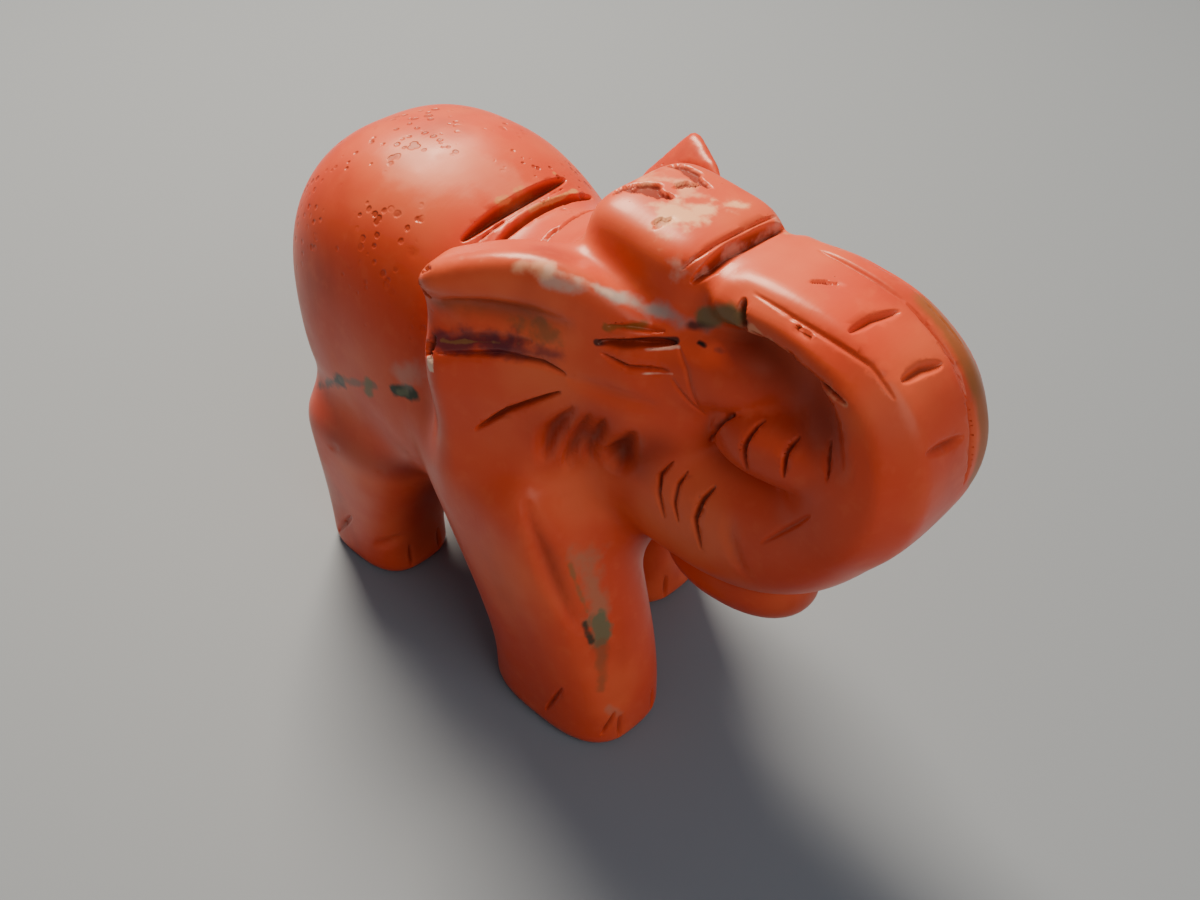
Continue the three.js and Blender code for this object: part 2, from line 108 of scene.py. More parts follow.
def column(p, hip, foot, hip_half, foot_half):
    rise = np.clip((p[:, 2] - foot[2]) / (hip[2] - foot[2]), 0, 1)
    t = rise * rise * (3 - 2 * rise)
    offset = [p[:, k] - (foot[k] + (hip[k] - foot[k]) * t) for k in (0, 1)]
    half = [foot_half[k] + (hip_half[k] - foot_half[k]) * t for k in (0, 1)]
    return smooth_max(super_distance(offset, half, 2.8), p[:, 2] - hip[2], 4)


def add_legs(form, p):
    legs = np.min([column(p, **leg) for leg in LEGS], axis=0)
    return smooth_min(form, legs, 2)


def hollow_shin(form, p):
    shin = rod(p, (-8.3, 16.6, 18.8), (-8.6, 17, 5), 5, 1.6)
    return smooth_max(smooth_max(form, -shin, 1.2), -p[:, 2], 1)


# Tail. A low ridge left proud of the rump by two passes of the wheel, hanging straight down.
# It is on the side that the photograph doesn't show.
def add_tail(form, p):
    root = rod(p, (0, -16.6, 30.5), (0, -17.7, 22), 1.4, 1.3)
    end = rod(p, (0, -17.7, 22), (0, -17, 13), 1.3, 1.1)
    return smooth_min(form, np.minimum(root, end), 0.6)


# Head. A domed forehead over flat cheeks, with the throat ground in below them and a tongue-shaped chin
# under the trunk. The web between the curl of the trunk and the face is left solid so that it can't snap.
SKULL = dict(at=(0, 13, 28.6), half=(6.6, 7, 6.8), power=2.2)
DOME = dict(at=(0, 12.9, 34.3), half=(4.5, 4.5, 3.7), power=4.2, pitch=-0.12)
BRIDGE = dict(at=(0, 17.6, 34.8), half=(3.6, 2.6, 2.1), power=3)
CHEEK = dict(at=(0, 16, 31), half=(5.3, 7, 3), power=2.6, pitch=0.08)
THROAT = dict(at=(8.4, 13, 23.4), half=(2.6, 2.6, 4.6), power=2)
CHIN = dict(at=(0, 18.9, 15.1), half=(3, 5.6, 3.3), power=2.2, pitch=0.1)
WEB = dict(at=(0, 22, 31), half=(2.6, 7.8, 5), power=3)
WEB_FRONT = dict(at=(0, 26.6, 28.4), half=(4.6, 3.4, 5), power=2.3)
LIP = dict(at=(2.9, 22.8, 28.3), half=(2.2, 4.3, 2.1), power=2.4, pitch=0.12)


def both_sides(p):
    return np.column_stack([np.abs(p[:, 0]), p[:, 1], p[:, 2]])


def add_head(form, p):
    brow = smooth_min(lump(p, **SKULL), lump(p, **DOME), 1.2)
    form = smooth_min(form, smooth_min(brow, lump(p, **CHEEK), 1), 2)
    return smooth_max(form, -lump(both_sides(p), **THROAT), 2)


def add_mouth(form, p):
    form = smooth_min(form, lump(p, **WEB), 1)
    form = smooth_min(form, lump(p, **WEB_FRONT), 2)
    form = smooth_min(form, lump(p, **BRIDGE), 0.8)
    form = smooth_min(form, lump(both_sides(p), **LIP), 0.4)
    return smooth_min(form, lump(p, **CHIN), 0.5)


# Ears. Thick flaps that run back and out from the cheeks, with a hollow fold ground in under the rim.
# The near one has been rubbed rounder than the far one.
EAR_ROOT, EAR_REAR = np.array([5.4, 15.5]), np.array([11.7, 3.6])
EAR_DEPTH = 4.6
EAR_NEAR = dict(top=33.2, arch=2.6, rise=1.6, fall=0.25, edge=1.4)
EAR_FAR = dict(top=31.2, arch=0.4, rise=4.2, fall=0.75, edge=1)
EAR_TUCK, EAR_TUCK_FROM = 0.12, 27


def add_ears(form, p):
    sides = both_sides(p)
    tucked = sides[:, :2] + np.outer(np.maximum(EAR_TUCK_FROM - p[:, 2], 0) * EAR_TUCK, (1, 0))
    length = np.linalg.norm(EAR_REAR - EAR_ROOT)
    along_line = (EAR_REAR - EAR_ROOT) / length
    offset = tucked - EAR_ROOT
    along = offset @ along_line
    out = offset[:, 1] * along_line[0] - offset[:, 0] * along_line[1]
    share = np.clip(along / length, 0, 1)
    top, arch, rise, fall, edge = (np.where(p[:, 0] < 0, EAR_NEAR[k], EAR_FAR[k]) for k in EAR_NEAR)
    top = top + arch * np.sin(np.pi * share ** 0.85) + rise * share + fall * np.minimum(out, 0)
    low = 25 - 6 * share
    gap = np.column_stack([
        np.abs(along - length / 2) - length / 2 + edge,
        np.abs(p[:, 2] - (top + low) / 2) - (top - low) / 2 + edge,
        np.abs(out + EAR_DEPTH / 2 - 0.4) - EAR_DEPTH / 2 + edge,
    ])
    flap = np.linalg.norm(np.maximum(gap, 0), axis=1) + np.minimum(gap.max(1), 0) - edge
    fold = rod(sides, (13.9, 2.5, 31.2), (8.9, 13.5, 32.2), 2.9, 1.2)
    return smooth_min(form, smooth_max(flap, -fold, 0.8), 2)


# Trunk. It leaves the face as a thick tube, turns up and back over the forehead and ends against the dome.
# Its upper length is ground to a flat band with a bevel on each side.
# Centre line as forward, up, half thickness, half width, and how flat it is on the near and the far side.
CURL = np.array([
    (11, 22.5, 6.5, 5.8, 0, 0),
    (15.5, 21.2, 6, 5.5, 0, 0),
    (19.5, 20.8, 5.6, 5.2, 0, 0),
    (22.8, 21.8, 4.9, 5, 0, 0.2),
    (26, 23.8, 3.5, 4.9, 0.1, 0.9),
    (28.8, 26.8, 2.4, 4.8, 0.8, 1),
    (29.8, 29.8, 1.7, 4.7, 1, 1),
    (28.6, 32.9, 1.6, 4.4, 1, 1),
    (25.8, 35.1, 1.4, 4.2, 1, 1),
    (22.4, 35.9, 1.3, 4, 1, 1),
    (19.4, 35.8, 1.3, 3.9, 1, 1),
])
CURL_STEPS = 5
CURL_MELT = 0.4
BAND_HALF, BEVEL_WIDE, BEVEL_DEEP_NEAR, BEVEL_DEEP_FAR = 2.4, 1.8, 1.5, 1.1


def curve_through(places, steps):
    """Short straight steps of the smooth curve through the places."""
    ends = np.vstack([2 * places[0] - places[1], places, 2 * places[-1] - places[-2]])
    line = []
    for a, b, c, d in zip(ends, ends[1:], ends[2:], ends[3:]):
        for t in np.arange(steps) / steps:
            bend = (2 * a - 5 * b + 4 * c - d) * t ** 2
            swing = (3 * b - a - 3 * c + d) * t ** 3
            line.append(0.5 * (2 * b + (c - a) * t + bend + swing))
    return np.array(line + [places[-1]])


curl_line = curve_through(CURL, CURL_STEPS)


def add_trunk(form, p):
    """Sweep the trunk's section along its line, with each step of the line melting into the next."""
    total = np.full(len(p), 1e-300)
    away, outer, thick, wide, near, far = (np.zeros(len(p)) for _ in range(6))
    for a, b in zip(curl_line, curl_line[1:]):
        run = b[:2] - a[:2]
        ahead, up = p[:, 1] - a[0], p[:, 2] - a[1]
        t = np.clip((ahead * run[0] + up * run[1]) / (run @ run), 0, 1)
        outward = (ahead * run[1] - up * run[0]) / np.hypot(*run)
        here = np.hypot(ahead - run[0] * t, up - run[1] * t)
        size = [a[k] + (b[k] - a[k]) * t for k in (2, 3, 4, 5)]
        weight = np.exp((size[0] - here) / CURL_MELT)
        total += weight
        away += weight * here
        outer += weight * outward
        for value, kept in zip(size, (thick, wide, near, far)):
            kept += weight * value
    away, outer, thick, wide, near, far = (v / total for v in (away, outer, thick, wide, near, far))
    on_far_side = p[:, 0] > 0
    band = np.where(on_far_side, far, near)
    deep = np.where(on_far_side, BEVEL_DEEP_FAR, BEVEL_DEEP_NEAR)
    side = np.abs(p[:, 0])
    tube = super_distance((side, away), (np.maximum(wide, 0.1), np.maximum(thick, 0.1)), 2.5)
    bevel = (deep * (side - BAND_HALF) + BEVEL_WIDE * (outer - thick)) / np.hypot(BEVEL_WIDE, deep)
    bar = smooth_max(smooth_max(side - wide, away - thick, 0.4), bevel, 0.3)
    return smooth_min(form, np.where(total > 1e-290, tube + (bar - tube) * band, 99), 1)


def rough_form(p):
    """The figure as it leaves the coarse wheel, below zero inside the stone."""
    form = add_tail(add_legs(body_form(p), p), p)
    form = add_ears(add_head(hollow_shin(form, p), p), p)
    return add_mouth(add_trunk(form, p), p)


# Wheel cuts. Thin V-shaped grooves ground with the rim of a small wheel: eyes and lids, the folds and cuts
# of the ears, rings on the trunk, lips, the back, the top of the trunk and the toes. The broad ones are soft folds.
# Each is a line of places, a depth and a width; the first list is cut on both sides of the head.
SIDE_CUTS = (
    (((-7.1, 13.3, 32.3), (-6.6, 14.3, 32.4), (-5.9, 15.3, 32.6), (-4.9, 16.9, 32.9)), 0.75, 0.8),
    (((-6.8, 13.7, 33.4), (-6.0, 14.6, 33.4), (-5.1, 16.2, 33.4)), 0.3, 0.55),
    (((-7.1, 13.5, 31.7), (-6.5, 15.0, 31.2), (-5.5, 17.0, 31.4)), 0.35, 0.45),
    (((-4.9, 17.0, 32.8), (-5.2, 17.9, 31.8), (-4.5, 18.7, 28.9)), 0.12, 0.35),
    (((-5.5, 17.1, 31.1), (-5.3, 17.9, 30.1), (-4.4, 18.8, 28.7)), 0.12, 0.35),
    (((-11.1, 4.5, 29.3), (-9.5, 8.1, 30.2), (-8.5, 10.5, 30.2), (-7.9, 11.7, 29.8)), 0.45, 0.6),
    (((-11.0, 4.4, 30.2), (-9.6, 7.4, 31.0), (-8.7, 9.8, 31.4)), 0.25, 0.8),
    (((-7.9, 11.7, 29.6), (-5.8, 16.8, 29.0)), 0.3, 1.8),
    (((-10.9, 4.8, 32.4), (-7.7, 12.0, 33.0)), 0.7, 3.4),
    (((-10.4, 6.4, 24.3), (-9.4, 8.4, 26.4), (-8.2, 11.5, 28.6)), 0.55, 0.5),
    (((-8.8, 10.2, 22.8), (-8.3, 10.6, 25.2), (-7.7, 12.2, 27.8)), 0.8, 1.7),
    (((-7.5, 11.2, 21.6), (-7.5, 11.6, 24.2), (-7.2, 12.9, 27.6)), 0.75, 1.6),
    (((-6.8, 12.2, 22.2), (-7.0, 12.6, 24.8), (-6.7, 13.8, 27.6)), 0.75, 1.6),
    (((-5.9, 13.4, 22.4), (-5.7, 13.8, 24.4), (-6.5, 15.6, 27.2)), 1.0, 2.6),
    (((-5.0, 17.2, 24.9), (-5.3, 16.5, 23.6), (-5.4, 16.5, 22.3), (-5.3, 17.0, 20.7)), 0.4, 0.42),
    (((-4.7, 18.0, 24.5), (-5.1, 17.6, 23.4), (-5.3, 17.6, 22.2), (-5.2, 18.0, 21.0)), 0.4, 0.36),
    (((-4.5, 19.8, 24.4), (-4.9, 19.3, 23.2), (-5.2, 19.1, 21.8), (-5.0, 19.7, 19.8)), 0.5, 0.48),
    (((-4.6, 21.5, 23.7), (-5.0, 21.4, 22.2), (-4.9, 22.1, 20.7), (-4.6, 23.2, 19.2)), 0.22, 1.2),
    (((-4.9, 23.6, 22.8), (-4.8, 24.9, 24.6), (-4.9, 26.4, 26.7)), 0.2, 0.45),
    (((-3.8, 18.8, 26.5), (-4.1, 19.5, 27.9), (-4.1, 20.6, 29.7)), 0.55, 0.6),
    (((-4.9, 22.2, 27.3), (-4.6, 21.9, 28.6), (-4.0, 22.3, 30.3)), 0.5, 0.42),
    (((-4.9, 24.5, 28.2), (-4.5, 24.3, 29.5), (-4.0, 24.5, 30.4)), 0.45, 0.42),
    (((-4.5, 26.9, 29.2), (-4.3, 26.6, 30.1), (-3.9, 26.4, 31.2)), 0.35, 0.38),
    (((-3.9, 20.8, 35.0), (-3.8, 24.0, 34.6), (-4.2, 27.0, 33.9)), 0.5, 0.6),
    (((-3.1, 20.1, 36.6), (-3.3, 23.1, 36.4), (-2.9, 27.2, 35.5), (-3.0, 28.8, 34.4)), 0.14, 0.4),
)
SINGLE_CUTS = (
    (((-5.2, 0.0, 32.3), (3.9, -0.3, 32.8)), 0.9, 1.1),
    (((-4.2, 1.7, 32.3), (5.3, 0.8, 31.5)), 0.7, 0.9),
    (((-1.9, 4.7, 33.3), (3.2, 3.6, 32.5)), 0.5, 0.55),
    (((-4.9, 0.8, 32.4), (3.0, 0.3, 32.6)), 0.25, 0.3),
    (((-3.6, 16.6, 35.9), (3.4, 17.2, 36.4)), 0.8, 1.1),
    (((-3.7, 16.0, 36.4), (3.2, 16.6, 36.9)), 0.25, 0.4),
    (((-3.5, 19.9, 36.4), (-4.0, 20.5, 34.4)), 0.6, 0.6),
    (((1.8, 20.5, 37.2), (1.7, 26.0, 36.4)), 0.25, 0.4),
    (((1.7, 26.0, 36.4), (1.3, 30.4, 32.9)), 0.3, 0.4),
    (((1.3, 30.4, 32.9), (1.1, 31.4, 28.0)), 0.3, 0.4),
    (((-10.0, 9.8, 20.8), (-9.5, 11.8, 15.6), (-8.9, 13.5, 10.5)), 0.7, 2.4),
    (((-2.6, 25.6, 36.7), (-0.8, 25.8, 36.9), (0.9, 26.3, 36.8)), 0.35, 0.7),
    (((-2.2, 28.6, 35.0), (-0.7, 28.9, 35.2), (0.7, 29.3, 35.0)), 0.35, 0.8),
    (((-2.6, 30.6, 31.9), (0.5, 31.1, 31.4)), 0.3, 0.8),
    (((-10.1, 11.1, 1.8), (-9.9, 12.7, 5.5)), 0.3, 0.5),
    (((-8.7, 15.1, 1.4), (-7.8, 15.6, 3.5)), 0.35, 0.5),
    (((-8.9, -14.2, 1.3), (-9.3, -11.1, 5.3)), 0.3, 0.8),
    (((-8.9, -9.3, 3.0), (-7.6, -6.9, 4.6)), 0.35, 1.4),
)


def slope_of(form, p, probe=0.05):
    slope = []
    for axis in range(3):
        step = np.zeros(3)
        step[axis] = probe
        slope.append((form(p + step) - form(p - step)) / (2 * probe))
    return np.column_stack(slope)


def settle(form, p, rounds=3, reach=0.5):
    """Move points onto the surface of a form along the steepest way."""
    for _ in range(rounds):
        slope = slope_of(form, p)
        move = form(p) / np.maximum((slope ** 2).sum(1), 1e-6)
        p = p - slope * np.clip(move, -reach, reach)[:, None]
    return p


def toe_cuts(foot, foot_half, **_):
    for share in (-0.4, 0.4):
        place = (foot[0] + share * foot_half[0], foot[1] + foot_half[1])
        yield ((*place, 0.5), (*place, 3.0)), 0.3, 0.5


def all_cuts():
    cuts = list(SINGLE_CUTS)
    for line, deep, wide in SIDE_CUTS:
        cuts.append((line, deep, wide))
        cuts.append(([(-side, ahead, up) for side, ahead, up in line], deep, wide))
    for leg in LEGS:
        cuts.extend(toe_cuts(**leg))
    return cuts


STATIONS = 7
SOFT_WIDTH = 1.1
cut_lines = []
for line, deep, wide in all_cuts():
    along = np.linspace(0, len(line) - 1, STATIONS)
    spots = np.column_stack([np.interp(along, range(len(line)), axis) for axis in np.transpose(line)])
    spots = settle(rough_form, spots, rounds=4)
    out = slope_of(rough_form, spots)
    cut_lines.append((spots, out / np.linalg.norm(out, axis=1)[:, None], deep, wide))


def cut_depth(p, spots, out, deep, wide):
    """How deep one groove is at each point: a V across it that runs out at both ends."""
    depth = np.zeros(len(p))
    middle = spots.mean(0)
    reach = np.linalg.norm(spots - middle, axis=1).max() + wide + 2
    near = np.flatnonzero(np.linalg.norm(p - middle, axis=1) < reach)
    q = p[near]
    best = np.full(len(q), np.inf)
    found = np.zeros(len(q))
    for i, (a, b) in enumerate(zip(spots, spots[1:])):
        run = b - a
        across = np.cross(run, out[i] + out[i + 1])
        across /= np.linalg.norm(across)
        t = (q - a) @ run / (run @ run)
        inside = np.clip(t, 0, 1)
        offset = q - a - inside[:, None] * run
        beside = np.abs(offset @ across)
        above = np.abs(offset @ (out[i] + out[i + 1]) / 2)
        away = np.linalg.norm(offset, axis=1)
        share = np.maximum(np.sin(np.pi * (i + inside) / (STATIONS - 1)), 0) ** (0.6 if wide > SOFT_WIDTH else 0.35)
        slope = np.clip(1 - beside / (wide / 2 * share + 1e-3), 0, 1)
        if wide > SOFT_WIDTH:
            slope = slope * slope * (3 - 2 * slope)
        here = np.where(above < 1.6, deep * share * slope, 0)
        nearer = away < best
        best = np.where(nearer, away, best)
        found = np.where(nearer, here, found)
    depth[near] = found
    return depth


# Chips. The stone has flaked on the dome and along the grooves, and crumbled at the ear's back edge. Each flake
# is flat-floored with a ragged steep edge: place on the surface, direction across it, half sizes and depth.
FLAKES = (
    ((-1.0, 11.2, 38.0), (0.3, 1.0, 0.0), (1.3, 0.7), 0.3),
    ((-1.7, 9.9, 38.0), (1.0, 0.4, 0.0), (0.7, 0.45), 0.25),
    ((2.1, 11.3, 37.9), (-0.2, 1.0, 0.0), (1.7, 0.5), 0.3),
    ((0.9, 12.2, 38.0), (1.0, 0.6, 0.0), (0.8, 0.3), 0.2),
    ((-2.6, 13.6, 37.6), (1.0, 0.3, 0.0), (0.6, 0.3), 0.15),
    ((-11.5, 3.9, 29.6), (0.0, 0.0, 1.0), (0.7, 0.4), 0.4),
    ((-11.2, 3.7, 33.0), (0.0, 0.0, 1.0), (0.6, 0.35), 0.4),
    ((-10.9, 4.3, 34.5), (0.3, 1.0, 0.2), (0.4, 0.25), 0.2),
    ((-2.2, 4.2, 34.2), (1.0, -0.1, 0.0), (1.8, 0.3), 0.25),
    ((-0.5, 22.5, 37.3), (0.8, 1.0, 0.0), (0.7, 0.16), 0.2),
)
DOME_FLAKES_FROM = 36
RAGGED = ((3, 0.7, 0.2), (5, 2.1, 0.14), (11, 4.0, 0.08))


def flake_depth(p):
    depth = np.zeros(len(p))
    for place, along, half, deep in FLAKES:
        near = np.flatnonzero(np.linalg.norm(p - place, axis=1) < 2 * max(half))
        if not len(near):
            continue
        out = slope_of(rough_form, np.array([place], float))[0]
        out /= np.linalg.norm(out)
        along = along - out * (along @ out)
        along /= np.linalg.norm(along)
        offset = p[near] - place
        u, v = offset @ along / half[0], offset @ np.cross(out, along) / half[1]
        turn = np.arctan2(v, u)
        edge = 1 + sum(size * np.sin(waves * turn + start) for waves, start, size in RAGGED)
        inside = np.clip((1 - np.hypot(u, v) / edge) / 0.22, 0, 1)
        depth[near] = np.maximum(depth[near], deep * inside)
    return depth


def near_cut(p, margin):
    """Whether each point is within a margin of a thin cut or a flake."""
    near = np.zeros(len(p), bool)
    for spots, out, deep, wide in cut_lines:
        if wide > SOFT_WIDTH:
            continue
        for a, b in zip(spots, spots[1:]):
            t = np.clip((p - a) @ (b - a) / ((b - a) @ (b - a)), 0, 1)
            near |= np.linalg.norm(p - a - t[:, None] * (b - a), axis=1) < wide / 2 + margin
    for place, along, half, deep in FLAKES:
        near |= np.linalg.norm(p - place, axis=1) < 1.2 * max(half) + margin
    return near


def worn_depth(p):
    """How far the folds, and how far the thin cuts and flakes, go below the rough form at each point."""
    folds = sum(cut_depth(p, *line) for line in cut_lines if line[3] > SOFT_WIDTH)
    cuts = np.max([cut_depth(p, *line) for line in cut_lines if line[3] <= SOFT_WIDTH], axis=0)
    return folds, np.maximum(cuts, flake_depth(p))


# Skin of the stone. The form above is meshed here on a fine grid, and the mesh takes the place of the solid.
CELL = 0.365
COARSE = 4
LOW, HIGH = np.array([-13.0, -20.5, -1.5]), np.array([13.0, 33.0, 40.0])
MM = 0.001


def sample_near_surface():
    """Values of the form on the fine grid, worked out only in the coarse blocks that the surface may cross."""
    blocks = np.ceil((HIGH - LOW) / (CELL * COARSE)).astype(int)
    coarse = np.stack(np.meshgrid(*[np.arange(n + 1) for n in blocks], indexing="ij"), -1)
    rough = rough_form(LOW + coarse.reshape(-1, 3) * CELL * COARSE).reshape(blocks + 1)
    fine_shape = blocks * COARSE + 1
    nearest = [np.rint(np.arange(n) / COARSE).astype(int) for n in fine_shape]
    value = rough[np.ix_(*nearest)]
    spots = np.argwhere(np.abs(value) < 2.3)
    value[tuple(spots.T)] = rough_form(LOW + spots * CELL)
    return value


def fill_pinches(value):
    """Fill a grid corner wherever two lots of stone would touch only along an edge."""
    for _ in range(20):
        found = 0
        for axis in range(3):
            turned = np.moveaxis(value, axis, 0)
            ring = [turned[:, :-1, :-1], turned[:, 1:, :-1], turned[:, 1:, 1:], turned[:, :-1, 1:]]
            inside = [r < 0 for r in ring]
            pinch = (inside[0] == inside[2]) & (inside[1] == inside[3]) & (inside[0] != inside[1])
            for a, b in ((0, 2), (1, 3)):
                hit = pinch & ~inside[a]
                ring[a][hit] = -1e-3
                found += int(hit.sum())
        if not found:
            return


def skin_of(value):
    """One corner for each grid cell that the surface crosses, and one face for each grid edge it crosses."""
    inside = value < 0
    shape = np.array(value.shape) - 1
    corners = [(i, j, k) for i in (0, 1) for j in (0, 1) for k in (0, 1)]
    count = sum(inside[i:shape[0] + i, j:shape[1] + j, k:shape[2] + k].astype(int) for i, j, k in corners)
    crossed = (count > 0) & (count < 8)
    number = np.full(crossed.shape, -1)
    number[crossed] = np.arange(crossed.sum())
    cells = np.argwhere(crossed)
    total, hits = np.zeros(cells.shape), np.zeros(len(cells))
    for axis in range(3):
        for i in (0, 1):
            for j in (0, 1):
                step = np.zeros(3, int)
                step[(axis + 1) % 3], step[(axis + 2) % 3] = i, j
                a = cells + step
                b = a.copy()
                b[:, axis] += 1
                va, vb = value[tuple(a.T)], value[tuple(b.T)]
                cross = (va < 0) != (vb < 0)
                t = np.where(cross, va / np.where(cross, va - vb, 1), 0)
                total += np.where(cross[:, None], a + (b - a) * t[:, None], 0)
                hits += cross
    points = LOW + total / hits[:, None] * CELL
    faces = []
    for axis in range(3):
        u, v = (axis + 1) % 3, (axis + 2) % 3
        first, second = np.take(inside, range(shape[axis]), axis), np.take(inside, range(1, shape[axis] + 1), axis)
        for reverse, hit in ((False, first & ~second), (True, ~first & second)):
            edges = np.argwhere(hit)
            quad = []
            for du, dv in ((-1, -1), (0, -1), (0, 0), (-1, 0)):
                cell = edges.copy()
                cell[:, u] += du
                cell[:, v] += dv
                quad.append(number[tuple(cell.T)])
            quad = np.column_stack(quad)
            faces.append(quad[:, ::-1] if reverse else quad)
    return points, np.vstack(faces)


def split_near(points, faces, near):
    """Halve every face whose corners are all near a cut, and join the halves up with the faces around them."""
    shape = bmesh.new()
    mesh = bpy.data.meshes.new("coarse skin")
    mesh.from_pydata(points.tolist(), [], faces if isinstance(faces, list) else faces.tolist())
    shape.from_mesh(mesh)
    bpy.data.meshes.remove(mesh)
    edges = {edge for face in shape.faces if all(near[v.index] for v in face.verts) for edge in face.edges}
    bmesh.ops.subdivide_edges(shape, edges=list(edges), cuts=1, use_grid_fill=True)
    shape.verts.index_update()
    points = np.array([v.co for v in shape.verts], float)
    faces = [[v.index for v in face.verts] for face in shape.faces]
    shape.free()
    return points, faces


grid_values = sample_near_surface()
fill_pinches(grid_values)
points, faces = skin_of(grid_values)
points = settle(rough_form, points, rounds=2, reach=0.15)
for margin in (0.3, 0.1):
    points, faces = split_near(points, faces, near_cut(points, margin))
    moved = near_cut(points, margin + 0.4)
    points[moved] = settle(rough_form, points[moved], rounds=1, reach=0.1)
folds, cuts = worn_depth(points)
slope = slope_of(rough_form, points)
sunk = points - slope / np.linalg.norm(slope, axis=1)[:, None] * (folds + cuts)[:, None]
place = np.column_stack([sunk[:, 0], -sunk[:, 1], sunk[:, 2]])
share = (place - place.min(0)) / np.ptp(place, axis=0)
place = cad_box[0] + share * np.subtract(cad_box[1], cad_box[0])

# Folds count at this share in the cut depth, which the material darkens as painted shade.
FOLD_SHADE = 0.4
# Painted shade: deeper red where two faces of the stone look at each other and shade each other:
# start, end, reach and strength.
SHADES = (
    ((-6.3, 15.4, 24.0), (-5.8, 16.2, 26.0), 2.2, 0.6),
    ((-5.4, -5.0, 8.0), (-5.9, -5.6, 3.0), 4.0, 0.7),
    ((-3.4, 20.4, 33.4), (-4.2, 25.6, 31.6), 2.8, 0.7),
    ((0.0, 24.4, 15.2), (0.0, 20.0, 12.4), 3.0, 0.5),
    ((-10.2, -9.6, 14.4), (-8.2, -2.6, 13.6), 2.6, 0.5),
    ((-8.6, 11.4, 25.4), (-7.0, 13.0, 26.4), 3.0, 0.35),
)
mesh = bpy.data.meshes.new("elephant skin")
mesh.from_pydata(place.tolist(), [], [face[::-1] for face in faces])
mesh.shade_smooth()
carved = mesh.attributes.new("cut depth", "FLOAT", "POINT")
carved.data.foreach_set("value", cuts + FOLD_SHADE * folds)
shade = np.zeros(len(points))
for start, end, reach, strength in SHADES:
    start, run = np.array(start), np.subtract(end, start)
    t = np.clip((points - start) @ run / (run @ run), 0, 1)
    near = np.clip(1 - np.linalg.norm(points - start - t[:, None] * run, axis=1) / reach, 0, 1)
    shade = np.maximum(shade, strength * near * near * (3 - 2 * near))
shaded = mesh.attributes.new("painted recess shade", "FLOAT", "POINT")
shaded.data.foreach_set("value", shade)
flaked = mesh.attributes.new("flake depth", "FLOAT", "POINT")
flaked.data.foreach_set("value", flake_depth(points) * (points[:, 2] > DOME_FLAKES_FROM))
elephant = bpy.data.objects.new("carved_elephant", mesh)
bpy.context.collection.objects.link(elephant)

# Wheel marks. The polish follows slight waves left by the wheel and leaves small open pits in the stone.
# A node tree moves the skin in and out by that much and is then made into a plain mesh.
WAVE_DEPTH, WAVE_LENGTH = 0.07 * MM, 4.5 * MM
PIT_DEPTH, PIT_SPACING, PIT_SIZE = 0.2 * MM, 1.5 * MM, 0.4 * MM
MARK_SEED = 7.0

marks = bpy.data.node_groups.new("wheel marks", "GeometryNodeTree")
marks.interface.new_socket("Geometry", in_out="INPUT", socket_type="NodeSocketGeometry")
mark_sizes = {}
for name, value in (
    ("Wave Depth", WAVE_DEPTH),
    ("Wave Length", WAVE_LENGTH),
    ("Pit Depth", PIT_DEPTH),
    ("Pit Spacing", PIT_SPACING),
    ("Pit Size", PIT_SIZE),
    ("Seed", MARK_SEED),
):
    mark_sizes[marks.interface.new_socket(name, in_out="INPUT", socket_type="NodeSocketFloat").identifier] = value
marks.interface.new_socket("Stone", in_out="INPUT", socket_type="NodeSocketMaterial")
marks.interface.new_socket("Geometry", in_out="OUTPUT", socket_type="NodeSocketGeometry")


def add_node(tree, kind, **settings):
    """A node with its settings; the keys of inputs are socket names or numbers, a socket is linked."""
    inputs = settings.pop("inputs", {})
    node = tree.nodes.new(kind)
    for key, value in settings.items():
        setattr(node, key, value)
    for key, value in inputs.items():
        if isinstance(value, bpy.types.NodeSocket):
            tree.links.new(value, node.inputs[key])
        else:
            node.inputs[key].default_value = value
    return node


def maths(tree, operation, *values):
    return add_node(tree, "ShaderNodeMath", operation=operation, inputs=dict(enumerate(values))).outputs[0]


def vectors(tree, operation, *values):
    return add_node(tree, "ShaderNodeVectorMath", operation=operation, inputs=dict(enumerate(values)))


given = marks.nodes.new("NodeGroupInput").outputs
result = marks.nodes.new("NodeGroupOutput")
spot = add_node(marks, "GeometryNodeInputPosition").outputs[0]
outward = add_node(marks, "GeometryNodeInputNormal").outputs[0]
wave = add_node(marks, "ShaderNodeTexNoise", noise_dimensions="4D", inputs={
    "Vector": spot, "W": given["Seed"], "Scale": maths(marks, "DIVIDE", 1.0, given["Wave Length"]), "Detail": 1.0,
}).outputs[0]
swell = maths(marks, "MULTIPLY", maths(marks, "SUBTRACT", wave, 0.5), given["Wave Depth"])
pit_scale = maths(marks, "DIVIDE", 1.0, given["Pit Spacing"])
nearest = add_node(marks, "ShaderNodeTexVoronoi", voronoi_dimensions="4D", inputs={
    "Vector": spot, "W": given["Seed"], "Scale": pit_scale,
}).outputs["Distance"]
from_pit = maths(marks, "MULTIPLY", nearest, given["Pit Spacing"])
patchy = add_node(marks, "ShaderNodeTexNoise", inputs={"Vector": spot, "Scale": 170.0, "Detail": 2.0}).outputs[0]
pitted = add_node(marks, "ShaderNodeMapRange", inputs={0: patchy, 1: 0.5, 2: 0.62}).outputs[0]
bowl = add_node(marks, "ShaderNodeMapRange", interpolation_type="SMOOTHSTEP", inputs={
    0: from_pit, 1: 0.0, 2: given["Pit Size"], 3: 1.0, 4: 0.0,
}).outputs[0]
sink = maths(marks, "MULTIPLY", maths(marks, "MULTIPLY", bowl, pitted), given["Pit Depth"])
high = add_node(marks, "ShaderNodeSeparateXYZ", inputs={0: spot}).outputs[2]
above_sole = add_node(marks, "ShaderNodeMapRange", inputs={0: high, 1: 1 * MM, 2: 3 * MM}).outputs[0]
